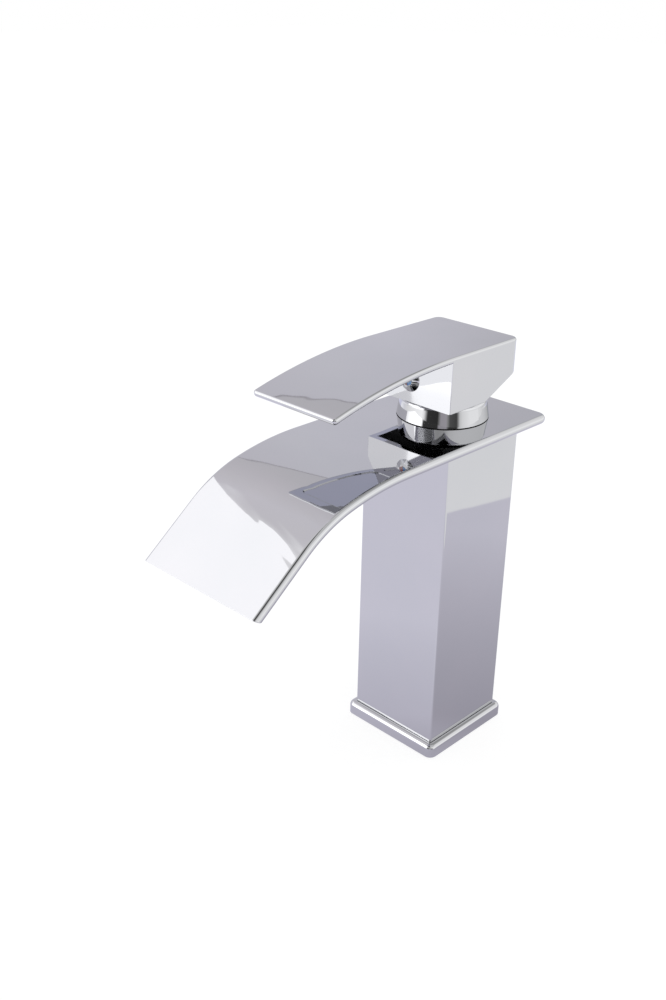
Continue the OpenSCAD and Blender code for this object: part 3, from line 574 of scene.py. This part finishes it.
# Finishes, with sizes in mm. "tones" are mottled by noise of "grain"; "rough" is a range on the same
# noise; "wave" is slow unevenness and "texture" fine relief, each (size, height); "stretch" draws the
# fine relief out along one axis
finishes = {
    # brass buffed by hand before plating, so flats ripple slowly like still water
    "chrome_brass": {"name": "polished chrome plate on brass", "tones": ("#C3C4C6", "#C6C6C8"), "grain": 30,
                     "metal": 1, "rough": (0.02, 0.04), "wave": (16, 0.012), "texture": (0.25, 0.00002)},
    # the same on die-cast zinc; plating hardly reaches the hollow, which stays matt, and its dark tone is
    # painted shade
    "chrome_zinc": {"name": "polished chrome plate on zinc", "tones": ("#C3C4C6", "#C6C6C8"), "grain": 30,
                    "metal": 1, "rough": (0.02, 0.04), "wave": (16, 0.08), "texture": (0.25, 0.00002),
                    "hollow": {"x": (0, 18.3), "y": (-0.85, 17.95), "below": 176.85, "tone": "#4A4A4D",
                               "rough": 0.55}},
    # bent sheet shows it most, with marks of the buffing wheel drawn out across the fold
    "chrome_spout": {"name": "chrome plate on buffed brass sheet", "tones": ("#C3C4C6", "#C6C6C8"), "grain": 30,
                     "metal": 1, "rough": (0.02, 0.04), "wave": (34, 0.2), "texture": (0.25, 0.00002),
                     "streak": {"size": 3, "height": 0.06, "turn": (0, 0.25, -0.2), "draw": 9,
                                "between": (-84, -104)}},
    # turned and left bare, dulled where hands and water reach
    "brass": {"name": "turned brass", "tones": ("#C9A458", "#DDBD76"), "grain": 5, "metal": 1,
              "rough": (0.24, 0.42), "wave": (6, 0.004), "texture": (0.3, 0.006), "stretch": (1, 1, 8)},
    # drawn tube, faint lines along its length and brown bloom from brazing
    "copper": {"name": "drawn copper", "tones": ("#B97350", "#D79468"), "grain": 6, "metal": 1,
               "rough": (0.22, 0.4), "wave": (5, 0.004), "texture": (0.25, 0.005), "stretch": (6, 6, 0.4)},
    # moulded nitrile, matt with a dusty bloom
    "rubber_black": {"name": "moulded nitrile rubber", "tones": ("#161617", "#262627"), "grain": 2, "metal": 0,
                     "rough": (0.5, 0.72), "wave": (4, 0.01), "texture": (0.15, 0.01)},
    # moulded acetal, waxy and slightly uneven
    "acetal_white": {"name": "moulded white acetal", "tones": ("#E6E6E0", "#F1F1EC"), "grain": 4, "metal": 0,
                     "rough": (0.32, 0.46), "wave": (5, 0.01), "texture": (0.2, 0.004)},
    "acetal_blue": {"name": "moulded blue acetal", "tones": ("#28548F", "#3263A6"), "grain": 4, "metal": 0,
                    "rough": (0.32, 0.46), "wave": (5, 0.01), "texture": (0.2, 0.004)},
    # fired alumina, lapped to a silky face
    "ceramic": {"name": "lapped alumina", "tones": ("#EDEBE4", "#F7F5F0"), "grain": 1, "metal": 0,
                "rough": (0.16, 0.28), "wave": (6, 0.002), "texture": (0.1, 0.003)},
    # ground pin and stem, fine lines along the axis
    "steel": {"name": "ground stainless steel", "tones": ("#AFB0B2", "#BFC0C1"), "grain": 4, "metal": 1,
              "rough": (0.2, 0.34), "wave": (6, 0.003), "texture": (0.2, 0.004), "stretch": (5, 5, 0.5)},
    # set screw, black oxide with bright rubbed corners
    "black_steel": {"name": "black oxide steel", "tones": ("#232325", "#38383A"), "grain": 1, "metal": 1,
                    "rough": (0.32, 0.5), "wave": (3, 0.003), "texture": (0.15, 0.005)},
    # transparent enamel pooled in the recess, glassy and a little deeper in places
    "blue_enamel": {"name": "blue enamel", "tones": ("#155FA8", "#2A86C8"), "grain": 1.5, "metal": 0,
                    "rough": (0.08, 0.14), "wave": (1.5, 0.01), "texture": (0.1, 0.0005), "coat": 1},
    "red_enamel": {"name": "red enamel", "tones": ("#8E3B35", "#B45248"), "grain": 1.5, "metal": 0,
                   "rough": (0.08, 0.14), "wave": (1.5, 0.01), "texture": (0.1, 0.0005), "coat": 1},
}


def makeFinish(look):
    mat, tree = newMaterial(look["name"])
    place = addNode(tree, "ShaderNodeTexCoord").outputs["Object"]
    apart = addNode(tree, "ShaderNodeSeparateXYZ", inputs={"Vector": place}).outputs
    mottle = addNode(tree, "ShaderNodeTexNoise",
                     inputs={"Vector": place, "Scale": 1 / (look["grain"] * mm), "Detail": 4})
    patch = addNode(tree, "ShaderNodeMapRange",
                    inputs={"Value": mottle.outputs["Fac"], "From Min": 0.3, "From Max": 0.7}).outputs[0]
    dark, pale = (linear(tone) for tone in look["tones"])
    colour = addNode(tree, "ShaderNodeMix", {"data_type": "RGBA"}, {0: patch, 6: dark, 7: pale}).outputs[2]
    smooth, dull = look["rough"]
    rough = addNode(tree, "ShaderNodeMapRange",
                    inputs={"Value": patch, "To Min": smooth, "To Max": dull}).outputs[0]

    # the hollow: matt where plating hardly reaches, and darkened with painted shade
    if "hollow" in look:
        rawAndShaded = look["hollow"]
        inside = addNode(tree, "ShaderNodeMath", {"operation": "LESS_THAN"},
                         {0: apart["Z"], 1: rawAndShaded["below"] * mm}).outputs[0]
        for axis in "xy":
            middle, half = rawAndShaded[axis]
            within = addNode(tree, "ShaderNodeMath", {"operation": "COMPARE"},
                             {0: apart[axis.upper()], 1: middle * mm, 2: half * mm})
            inside = addNode(tree, "ShaderNodeMath", {"operation": "MULTIPLY"},
                             {0: inside, 1: within.outputs[0]}).outputs[0]
        colour = addNode(tree, "ShaderNodeMix", {"data_type": "RGBA"},
                         {0: inside, 6: colour, 7: linear(rawAndShaded["tone"])}).outputs[2]
        rough = addNode(tree, "ShaderNodeMix",
                        inputs={0: inside, 2: rough, 3: rawAndShaded["rough"]}).outputs[0]

    # relief in layers of (coordinates, size, height, detail, share), slow to fine
    drawn = addNode(tree, "ShaderNodeMapping",
                    inputs={"Vector": place, "Scale": look.get("stretch", (1, 1, 1))})
    layers = [(place, *look["wave"], 1, None), (drawn.outputs[0], *look["texture"], 2, None)]
    if "streak" in look:
        mark = look["streak"]
        across = addNode(tree, "ShaderNodeMapping", {"vector_type": "TEXTURE"},
                         {"Vector": place, "Rotation": mark["turn"], "Scale": (mark["draw"], 1, 1)})
        start, end = (y * mm for y in mark["between"])
        share = addNode(tree, "ShaderNodeMapRange",
                        inputs={"Value": apart["Y"], "From Min": start, "From Max": end})
        layers.insert(1, (across.outputs[0], mark["size"], mark["height"], 0, share.outputs[0]))
    normal = {}
    for vector, size, height, detail, share in layers:
        relief = addNode(tree, "ShaderNodeTexNoise",
                         inputs={"Vector": vector, "Scale": 1 / (size * mm), "Detail": detail}).outputs["Fac"]
        if share:
            relief = addNode(tree, "ShaderNodeMath", {"operation": "MULTIPLY"},
                             {0: relief, 1: share}).outputs[0]
        bump = addNode(tree, "ShaderNodeBump", inputs={"Height": relief, "Distance": height * mm, **normal})
        normal = {"Normal": bump.outputs[0]}
    shine = addNode(tree, "ShaderNodeBsdfPrincipled",
                    inputs={"Metallic": look["metal"], "Coat Weight": look.get("coat", 0), "Base Color": colour,
                            "Roughness": rough, **normal})
    addNode(tree, "ShaderNodeOutputMaterial", inputs={"Surface": shine.outputs[0]})
    return mat


makeCamera()
makeWorld()
makeFloor()
for name, card in cards.items():
    makeCard(name, **card)
print("studio ready")
makeSpout()
makeFoot()
makeHandle()

materials = {slotName: makeFinish(look) for slotName, look in finishes.items()}
for name, obj in nodes.items():
    mat = materials[obj.data.materials[0].name]
    obj.data.materials.clear()
    obj.data.materials.append(mat)
pieceFinish = {"spout_plate": "chrome_spout", "foot_plate": "chrome_brass", "handle_casting": "chrome_zinc"}
for name, slotName in pieceFinish.items():
    bpy.data.objects[name].data.materials.append(materials[slotName])
print("finishes ready")

bpy.context.scene.view_settings.view_transform = "Standard"
